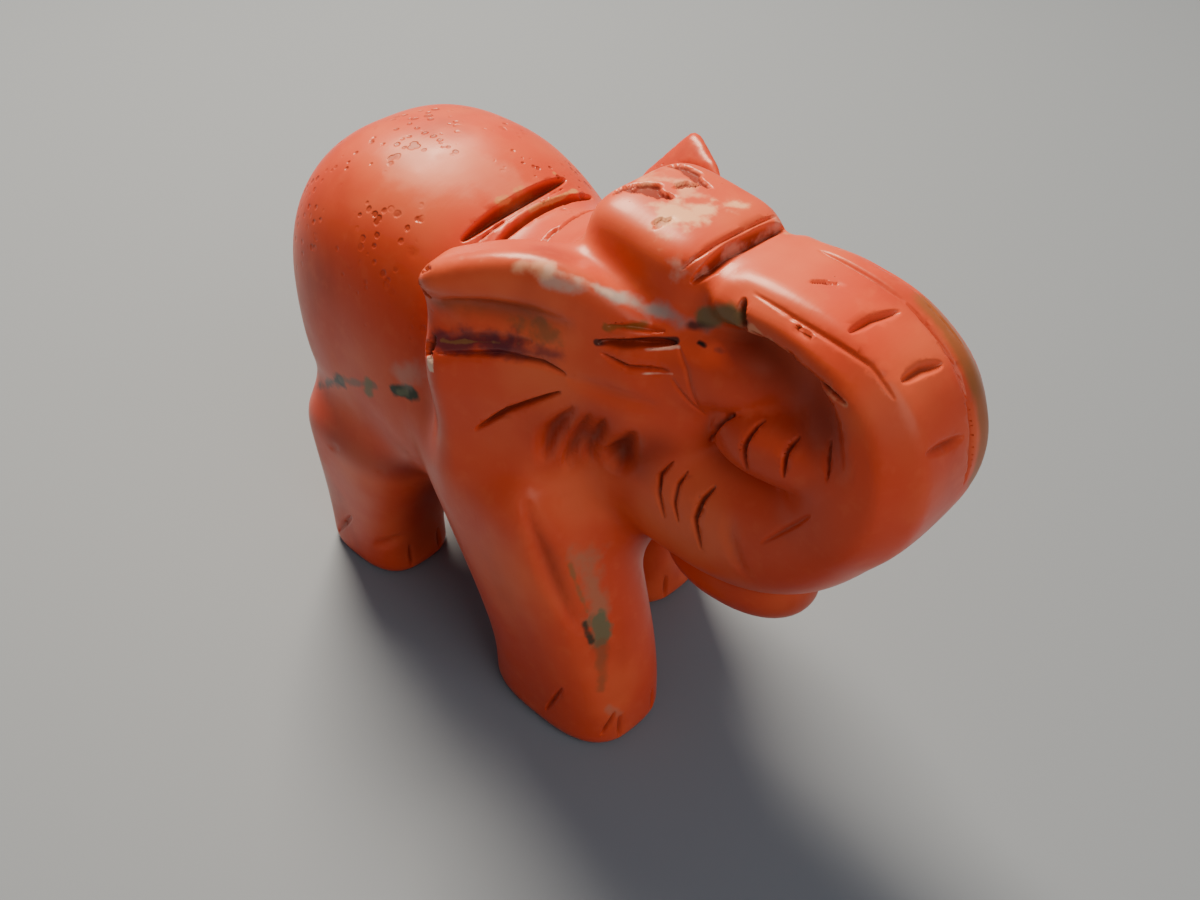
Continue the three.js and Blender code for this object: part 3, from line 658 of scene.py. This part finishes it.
below_crown = add_node(marks, "ShaderNodeMapRange", inputs={0: high, 1: 37 * MM, 2: 37.8 * MM, 3: 1.0, 4: 0.0}).outputs[0]
amount = maths(marks, "MULTIPLY", maths(marks, "SUBTRACT", swell, sink), maths(marks, "MULTIPLY", above_sole, below_crown))
moved = add_node(marks, "GeometryNodeSetPosition", inputs={
    "Geometry": given["Geometry"], "Offset": vectors(marks, "SCALE", outward).outputs[0],
})
marks.links.new(amount, moved.inputs["Offset"].links[0].from_node.inputs["Scale"])
plain = add_node(marks, "GeometryNodeRealizeInstances", inputs={0: moved.outputs[0]})
dressed = add_node(marks, "GeometryNodeSetMaterial", inputs={0: plain.outputs[0], "Material": given["Stone"]})
marks.links.new(dressed.outputs[0], result.inputs[0])

# Agate. Opaque red-orange jasper, salmon where it is palest and red-brown in its clouds. Threads and spots of
# other minerals cross it, and the rough places keep a dry, whitish bruise where the polish didn't reach.
# Painted shade darkens the cuts, folds, recesses, the ear hollow and the eye, and painted highlights lie along
# the ear rim, the eye rim and the lids, and in part on the dome and the rump.
PALE_STONE, MAIN_STONE, DARK_STONE = (0.74, 0.12, 0.045, 1), (0.66, 0.062, 0.022, 1), (0.4, 0.027, 0.011, 1)
FORM_TO_FRAME = Vector((-0.138, 6.234, 0))


def on_stone(side, ahead, up):
    return Vector((side + FORM_TO_FRAME.x, FORM_TO_FRAME.y - ahead, up)) * MM


streak = bpy.data.node_groups.new("mineral and painted light streak", "ShaderNodeTree")
for name, kind in (
    ("Place", "Vector"), ("Start", "Vector"), ("End", "Vector"),
    ("Width", "Float"), ("Softness", "Float"), ("Breakup", "Float"), ("Grain", "Float"),
):
    streak.interface.new_socket(name, in_out="INPUT", socket_type="NodeSocket" + kind)
streak.interface.new_socket("Mask", in_out="OUTPUT", socket_type="NodeSocketFloat")
given = streak.nodes.new("NodeGroupInput").outputs
result = streak.nodes.new("NodeGroupOutput")
run = vectors(streak, "SUBTRACT", given["End"], given["Start"]).outputs[0]
offset = vectors(streak, "SUBTRACT", given["Place"], given["Start"]).outputs[0]
along = maths(streak, "DIVIDE", vectors(streak, "DOT_PRODUCT", offset, run).outputs["Value"],
              maths(streak, "ADD", vectors(streak, "DOT_PRODUCT", run, run).outputs["Value"], 1e-12))
along.node.use_clamp = True
reach = vectors(streak, "SCALE", run)
streak.links.new(along, reach.inputs["Scale"])
away = vectors(streak, "LENGTH", vectors(streak, "SUBTRACT", offset, reach.outputs[0]).outputs[0]).outputs["Value"]
torn = maths(streak, "MULTIPLY", given["Grain"], maths(streak, "MULTIPLY", given["Breakup"], given["Width"]))
inner = maths(streak, "MULTIPLY", given["Width"], maths(streak, "SUBTRACT", 1.0, given["Softness"]))
mask = add_node(streak, "ShaderNodeMapRange", interpolation_type="SMOOTHSTEP", inputs={
    0: maths(streak, "ADD", away, torn), 1: inner, 2: given["Width"], 3: 1.0, 4: 0.0,
}).outputs[0]
streak.links.new(mask, result.inputs["Mask"])

agate = bpy.data.materials.new("polished red agate")
agate.use_nodes = True
tree = agate.node_tree
shader = tree.nodes["Principled BSDF"]
local = tree.nodes.new("ShaderNodeTexCoord").outputs["Object"]


def blended(mask, under, over):
    """One colour laid over another by a mask."""
    node = add_node(tree, "ShaderNodeMix", data_type="RGBA", inputs={0: mask})
    for socket, colour in ((node.inputs[6], under), (node.inputs[7], over)):
        if isinstance(colour, bpy.types.NodeSocket):
            tree.links.new(colour, socket)
        else:
            socket.default_value = colour
    return node.outputs[2]


def cloudy(scale, low, high, detail=3.0, stretch=(1, 1, 1)):
    place = add_node(tree, "ShaderNodeMapping", inputs={"Vector": local, "Scale": stretch}).outputs[0]
    noise = add_node(tree, "ShaderNodeTexNoise", inputs={"Vector": place, "Scale": scale, "Detail": detail})
    return add_node(tree, "ShaderNodeMapRange", interpolation_type="SMOOTHSTEP",
                    inputs={0: noise.outputs[0], 1: low, 2: high}).outputs[0]


fine_grain = add_node(tree, "ShaderNodeTexNoise", inputs={"Vector": local, "Scale": 900.0, "Detail": 3.0}).outputs[0]
wide_grain = add_node(tree, "ShaderNodeTexNoise", inputs={"Vector": local, "Scale": 260.0, "Detail": 1.0}).outputs[0]
grain = maths(tree, "MULTIPLY", maths(tree, "SUBTRACT", maths(tree, "ADD", fine_grain, wide_grain), 1.0), 3.0)
colour = blended(cloudy(95, 0.42, 0.7), MAIN_STONE, PALE_STONE)
colour = blended(maths(tree, "MULTIPLY", cloudy(130, 0.52, 0.75, stretch=(1, 1, 0.6)), 0.6), colour, DARK_STONE)
colour = blended(maths(tree, "MULTIPLY", cloudy(1100, 0.5, 0.75, detail=2.0), 0.25), colour, PALE_STONE)

# Darker in the floors of the cuts and folds: painted shade, with some dirt in the grooves.
in_cut = add_node(tree, "ShaderNodeAttribute", attribute_name="cut depth").outputs["Fac"]
cut_shade = add_node(tree, "ShaderNodeMapRange", interpolation_type="SMOOTHSTEP", inputs={
    0: in_cut, 1: 0.05, 2: 0.4, 3: 0.0, 4: 0.7,
}).outputs[0]
colour = blended(cut_shade, colour, (0.13, 0.012, 0.006, 1))
# Painted shade in the recesses between facing surfaces.
painted_shade_in_recesses = add_node(tree, "ShaderNodeAttribute", attribute_name="painted recess shade").outputs["Fac"]
colour = blended(painted_shade_in_recesses, colour, (0.2, 0.014, 0.008, 1))

# Each mineral is its name, start, end, half width, softness, breakup, strength and colour.
# The ear hollow is painted shade, and the eye is painted shade with some dirt; the rest are minerals.
GREEN, DARK_GREEN, OLIVE = (0.13, 0.15, 0.08, 1), (0.02, 0.035, 0.022, 1), (0.16, 0.13, 0.055, 1)
GREY_WHITE, BEIGE, PURPLE = (0.5, 0.4, 0.33, 1), (0.36, 0.2, 0.11, 1), (0.1, 0.017, 0.03, 1)
BROWN, BLACK, HONEY = (0.15, 0.04, 0.014, 1), (0.008, 0.006, 0.005, 1), (0.3, 0.1, 0.03, 1)
MINERALS_AND_PAINTED_SHADE = (
    ("body vein", (-9.2, -14.4, 15.8), (-9.8, -8.5, 20.0), 0.7, 0.8, 0.5, 1.0, (0.03, 0.035, 0.028, 1)),
    ("body vein thins", (-9.8, -8.5, 20.0), (-10.1, -3.9, 22.1), 0.4, 0.9, 0.6, 0.7, (0.14, 0.1, 0.07, 1)),
    ("olive blob", (-10.1, -5.0, 20.9), (-10.1, -4.7, 22.0), 0.6, 0.7, 0.5, 0.9, OLIVE),
    ("dark green blob", (-10.1, -2.1, 22.7), (-9.9, -0.2, 23.2), 0.62, 0.6, 0.5, 1.0, DARK_GREEN),
    ("green core", (-10.0, -1.5, 22.7), (-9.9, -0.9, 23.0), 0.4, 0.8, 0.5, 0.7, GREEN),
    ("pale haze", (-9.9, -1.0, 24.2), (-10.8, 3.6, 27.5), 1.3, 1.0, 0.4, 0.4, GREY_WHITE),
    ("rim vein", (-8.2, 10.8, 35.6), (-5.8, 13.7, 34.7), 0.5, 1.0, 0.6, 0.65, GREY_WHITE),
    ("rim vein to the brow", (-6.6, 12.8, 35.1), (-4.4, 15.6, 33.9), 0.55, 1.0, 0.6, 0.8, GREY_WHITE),
    ("rim vein by the web", (-4.8, 15.0, 34.0), (-3.9, 17.8, 34.0), 0.7, 1.0, 0.6, 0.7, (0.27, 0.21, 0.2, 1)),
    ("olive vein end", (-3.6, 17.6, 34.2), (-3.8, 19.6, 35.3), 0.75, 0.6, 0.3, 0.9, (0.15, 0.115, 0.05, 1)),
    ("dark vein end", (-4.0, 17.2, 33.7), (-4.1, 20.2, 34.5), 0.45, 0.7, 0.4, 0.85, (0.045, 0.014, 0.016, 1)),
    ("dark notch", (-3.5, 20.0, 36.1), (-3.9, 20.5, 35.3), 0.25, 0.9, 0.4, 0.8, (0.08, 0.02, 0.01, 1)),
    ("black hole", (-4.4, 18.0, 33.2), (-4.4, 18.4, 33.2), 0.26, 0.6, 0.5, 1.0, BLACK),
    ("grey by the hole", (-4.3, 19.0, 33.2), (-4.2, 19.5, 33.3), 0.3, 0.9, 0.8, 0.7, (0.07, 0.03, 0.025, 1)),
    ("eye inclusion", (-6.8, 13.7, 33.3), (-5.4, 15.2, 33.5), 0.36, 0.8, 0.8, 0.85, (0.26, 0.085, 0.018, 1)),
    # The eye darkens the groove of the eye near-black: painted shade, with some dirt.
    ("eye", (-7.1, 13.3, 32.3), (-4.8, 16.8, 32.9), 0.3, 0.5, 0.15, 0.9, (0.03, 0.012, 0.012, 1)),
    ("purple band", (-11.2, 3.9, 30.0), (-9.2, 8.4, 31.1), 0.95, 0.9, 0.6, 0.85, PURPLE),
    ("purple band thins", (-9.8, 6.8, 30.4), (-8.2, 11.2, 30.9), 0.8, 1.0, 0.6, 0.7, PURPLE),
    ("ochre thread", (-10.8, 4.6, 30.1), (-8.8, 9.0, 30.9), 0.13, 0.9, 1.6, 0.6, (0.34, 0.17, 0.05, 1)),
    ("olive threads of the ear", (-9.3, 8.4, 32.5), (-8.2, 11.0, 31.9), 0.8, 0.9, 0.9, 0.6, (0.16, 0.1, 0.04, 1)),
    # The ear hollow is painted shade under the rim of the ear.
    ("ear hollow", (-10.6, 4.4, 32.3), (-8.8, 9.9, 33.0), 1.1, 1.0, 0.2, 0.65, BROWN),
    ("beige patch", (-7.3, 12.8, 15.2), (-7.3, 13.7, 12.0), 1.6, 0.8, 0.5, 0.7, (0.4, 0.18, 0.1, 1)),
    ("beige edge", (-8.5, 12.3, 15.6), (-8.1, 13.4, 12.0), 0.3, 0.8, 0.6, 0.7, (0.26, 0.13, 0.05, 1)),
    ("green blob", (-7.7, 13.8, 11.0), (-7.6, 14.1, 10.2), 0.95, 0.6, 0.7, 0.9, GREEN),
    ("dark green edge", (-8.5, 13.6, 11.2), (-8.3, 14.0, 9.8), 0.35, 0.6, 0.5, 0.9, DARK_GREEN),
    ("brown streak", (-7.8, 14.4, 9.2), (-8.3, 15.0, 5.8), 0.65, 0.9, 0.5, 0.6, (0.22, 0.09, 0.04, 1)),
    ("pale toe", (-8.2, 15.6, 4.0), (-7.6, 16.0, 3.2), 0.5, 0.8, 0.5, 0.5, (0.42, 0.2, 0.13, 1)),
    ("honey flange", (3.1, 26.6, 36.0), (3.0, 30.2, 33.4), 1.3, 0.5, 0.15, 0.85, HONEY),
    ("honey flange below", (3.0, 30.2, 33.4), (2.9, 31.4, 28.0), 1.3, 0.5, 0.15, 0.85, HONEY),
)
for name, start, end, width, softness, breakup, strength, tint in MINERALS_AND_PAINTED_SHADE:
    mask = add_node(tree, "ShaderNodeGroup", node_tree=streak, label=name, inputs={
        "Place": local, "Start": on_stone(*start), "End": on_stone(*end),
        "Width": width * MM, "Softness": softness, "Breakup": breakup, "Grain": grain,
    }).outputs[0]
    colour = blended(maths(tree, "MULTIPLY", mask, strength), colour, tint)

# Bruises: dry whitish places on edges and in the ground floors of cuts, and dark flat flakes on the dome.
# Some pale marks in this table are painted highlights: the ear rim, the eye rim and the lid edge lines,
# and in part the dome and rump patches.
BRUISES_AND_PAINTED_HIGHLIGHTS = (
    # The dome patches are partly dry chipped stone and partly a painted highlight.
    ("dome", (-2.0, 13.5, 37.8), (1.8, 14.9, 37.7), 1.2, 0.8, 1.0, 0.8, (0.95, 0.5, 0.26, 1)),
    ("dome between the flakes", (0.4, 10.6, 38.0), (0.8, 13.4, 38.0), 1.2, 0.9, 1.0, 0.6, (0.9, 0.42, 0.22, 1)),
    ("forehead cut", (-3.6, 16.2, 36.2), (2.8, 16.9, 36.6), 0.75, 0.6, 0.8, 0.8, (0.62, 0.24, 0.17, 1)),
    ("trunk tip edge", (-3.2, 17.6, 36.0), (2.8, 17.9, 36.6), 0.25, 0.6, 0.7, 0.6, (0.6, 0.25, 0.12, 1)),
    ("under the band", (-4.0, 21.0, 35.1), (-4.0, 23.8, 34.7), 0.28, 0.8, 1.0, 0.7, (0.75, 0.32, 0.18, 1)),
    ("under the band ahead", (-4.0, 23.8, 34.7), (-4.4, 27.0, 33.9), 0.26, 0.8, 1.0, 0.7, (0.75, 0.32, 0.18, 1)),
    # The eye rim and lid edge lines are painted highlights along the lids.
    ("eye rim", (-6.6, 14.4, 31.9), (-4.8, 17.1, 32.7), 0.14, 0.8, 0.6, 0.8, (0.85, 0.42, 0.3, 1)),
    ("lid edge", (-6.3, 15.4, 30.9), (-5.5, 17.2, 31.3), 0.14, 0.8, 0.6, 0.8, (0.9, 0.5, 0.36, 1)),
    ("first back cut", (-2.0, -0.4, 33.3), (3.4, -0.8, 33.2), 0.3, 0.5, 0.9, 0.8, (0.62, 0.24, 0.06, 1)),
    ("second back cut", (-0.4, 1.3, 33.0), (4.2, 0.6, 32.4), 0.25, 0.5, 0.9, 0.8, (0.66, 0.3, 0.1, 1)),
    # The rump patch is partly a dry worn place and partly a painted highlight.
    ("rump", (-3.6, -5.6, 34.6), (-0.6, -1.0, 34.4), 3.2, 0.9, 0.6, 0.16, (0.8, 0.36, 0.2, 1)),
    ("ear corner", (-11.3, 4.0, 33.6), (-11.4, 3.9, 32.6), 0.4, 0.4, 0.8, 0.9, (0.78, 0.5, 0.36, 1)),
    ("ear edge", (-11.4, 4.0, 29.4), (-11.4, 4.2, 28.4), 0.35, 0.4, 0.9, 0.9, (0.8, 0.56, 0.42, 1)),
    # The ear rim lines are painted highlights along the crest of the rim.
    ("ear rim", (-10.2, 4.8, 35.1), (-7.9, 10.6, 36.0), 0.5, 1.0, 0.9, 0.65, (0.9, 0.46, 0.26, 1)),
    ("ear rim to the brow", (-7.9, 10.6, 36.0), (-6.2, 13.4, 35.0), 0.3, 1.0, 0.7, 0.6, (0.85, 0.52, 0.36, 1)),
)
dry = maths(tree, "MULTIPLY", cut_shade, 0.8)
for name, start, end, width, softness, breakup, strength, tint in BRUISES_AND_PAINTED_HIGHLIGHTS:
    mask = add_node(tree, "ShaderNodeGroup", node_tree=streak, label=name, inputs={
        "Place": local, "Start": on_stone(*start), "End": on_stone(*end),
        "Width": width * MM, "Softness": softness, "Breakup": breakup, "Grain": grain,
    }).outputs[0]
    colour = blended(maths(tree, "MULTIPLY", mask, strength), colour, tint)
    dry = maths(tree, "MAXIMUM", dry, mask)
in_flake = add_node(tree, "ShaderNodeAttribute", attribute_name="flake depth").outputs["Fac"]
flake_shade = add_node(tree, "ShaderNodeMapRange", inputs={0: in_flake, 1: 0.1, 2: 0.2, 3: 0.0, 4: 0.85}).outputs[0]
colour = blended(flake_shade, colour, (0.2, 0.016, 0.009, 1))
dry = maths(tree, "MAXIMUM", dry, flake_shade)

# Polish: glossy, a little hazy in patches, dull on the bruises and painted highlights, with fine scratches and
# pinholes.
hazy = maths(tree, "MULTIPLY", cloudy(210, 0.4, 0.7), 0.1)
dull = maths(tree, "ADD", maths(tree, "MULTIPLY", dry, 0.12), maths(tree, "MULTIPLY", flake_shade, 0.4))
tree.links.new(maths(tree, "ADD", maths(tree, "ADD", hazy, 0.33), dull), shader.inputs["Roughness"])
shader.inputs["Specular IOR Level"].default_value = 0.34
shader.inputs["Specular Tint"].default_value = (1.0, 0.8, 0.62, 1)
shader.inputs["Coat Weight"].default_value = 0.06
shader.inputs["Coat Roughness"].default_value = 0.22
pinholes = add_node(tree, "ShaderNodeTexVoronoi", inputs={"Vector": local, "Scale": 1350.0}).outputs["Distance"]
hole = add_node(tree, "ShaderNodeMapRange", interpolation_type="SMOOTHSTEP", inputs={
    0: maths(tree, "ADD", pinholes, maths(tree, "MULTIPLY", grain, 0.2)), 1: 0.14, 2: 0.32, 3: 1.0, 4: 0.0,
}).outputs[0]
height = add_node(tree, "ShaderNodeSeparateXYZ", inputs={0: local}).outputs[2]
on_top = add_node(tree, "ShaderNodeMapRange", inputs={0: height, 1: 25 * MM, 2: 33 * MM}).outputs[0]
behind = add_node(tree, "ShaderNodeSeparateXYZ", inputs={0: local}).outputs[1]
on_rump = add_node(tree, "ShaderNodeMapRange", inputs={0: behind, 1: 1 * MM, 2: 7 * MM, 3: 0.0, 4: 1.0}).outputs[0]
worn_top = maths(tree, "MULTIPLY", on_top, on_rump)
sparse = maths(tree, "MULTIPLY", maths(tree, "MULTIPLY", hole, cloudy(230, 0.46, 0.58)), worn_top)
colour = blended(maths(tree, "MULTIPLY", sparse, 0.6), colour, (0.26, 0.02, 0.008, 1))
tree.links.new(colour, shader.inputs["Base Color"])
crumb = add_node(tree, "ShaderNodeTexNoise", inputs={"Vector": local, "Scale": 3200.0, "Detail": 3.0}).outputs[0]
scratch_place = add_node(tree, "ShaderNodeMapping", inputs={
    "Vector": local, "Rotation": (0.5, 0.3, 0.9), "Scale": (1.0, 12.0, 1.0),
}).outputs[0]
scratches = add_node(tree, "ShaderNodeTexNoise", inputs={"Vector": scratch_place, "Scale": 420.0, "Detail": 3.0}).outputs[0]
relief = maths(tree, "SUBTRACT", maths(tree, "MULTIPLY", crumb, maths(tree, "ADD", maths(tree, "MULTIPLY", cut_shade, 0.5), 0.08)), maths(tree, "MULTIPLY", sparse, 2.2))
relief = maths(tree, "ADD", relief, maths(tree, "MULTIPLY", scratches, 0.12))
bump = add_node(tree, "ShaderNodeBump", inputs={"Height": relief, "Distance": 0.06 * MM, "Strength": 0.6})
tree.links.new(bump.outputs[0], shader.inputs["Normal"])

wear = elephant.modifiers.new("wheel marks", "NODES")
wear.node_group = marks
for identifier, value in mark_sizes.items():
    wear[identifier] = value
stone_socket = next(s for s in marks.interface.items_tree if s.name == "Stone")
wear[stone_socket.identifier] = agate
bpy.context.view_layer.update()
worn = bpy.data.meshes.new_from_object(elephant.evaluated_get(bpy.context.evaluated_depsgraph_get()))
elephant.modifiers.clear()
elephant.data = worn
worn.name = "elephant stone"
worn.shade_smooth()

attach(elephant, "root")
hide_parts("elephant")

# Floor. A plain pale tabletop.
bpy.ops.mesh.primitive_plane_add(size=1.6, location=(0, 0, 0))
floor = bpy.context.object
floor.name = "floor"
pale = bpy.data.materials.new("pale tabletop")
pale.use_nodes = True
pale.node_tree.nodes["Principled BSDF"].inputs["Base Color"].default_value = (0.2, 0.235, 0.275, 1)
pale.node_tree.nodes["Principled BSDF"].inputs["Roughness"].default_value = 0.7
floor.data.materials.append(pale)

# Light. One big soft lamp above and behind, a weak one in front, and a pale room.
world = bpy.data.worlds.new("pale room")
world.use_nodes = True
world.node_tree.nodes["Background"].inputs["Color"].default_value = (0.95, 0.96, 1.0, 1)
world.node_tree.nodes["Background"].inputs["Strength"].default_value = 0.2
bpy.context.scene.world = world


def soft_lamp(name, place, size, power, tint):
    lamp = bpy.data.lights.new(name, "AREA")
    lamp.shape = "SQUARE"
    lamp.size = size
    lamp.energy = power
    lamp.color = tint
    holder = bpy.data.objects.new(name, lamp)
    holder.location = place
    holder.rotation_euler = (Vector((0, 0, 0.02)) - Vector(place)).to_track_quat("-Z", "Y").to_euler()
    bpy.context.collection.objects.link(holder)


soft_lamp("lamp above", (0.09, 0.17, 0.29), 0.13, 2.7, (1.0, 0.84, 0.66))
soft_lamp("lamp in front", (-0.06, -0.34, 0.24), 0.25, 0.62, (1.0, 0.93, 0.88))

# Camera. It looks down at the figure from its right front quarter, about ten centimetres away.
CAMERA_PLACE = Vector((-45.04, -43.77, 69.0)) * MM
LOOK_DOWN = math.radians(40)
HEADING = math.radians(44)
look = Vector((math.cos(HEADING), math.sin(HEADING), -math.tan(LOOK_DOWN)))
camera = bpy.data.objects.new("camera", bpy.data.cameras.new("camera"))
camera.location = CAMERA_PLACE
camera.rotation_euler = look.to_track_quat("-Z", "Y").to_euler()
camera.data.sensor_width = 36
camera.data.lens = 36
camera.data.clip_start = 0.005
bpy.context.collection.objects.link(camera)
bpy.context.scene.camera = camera
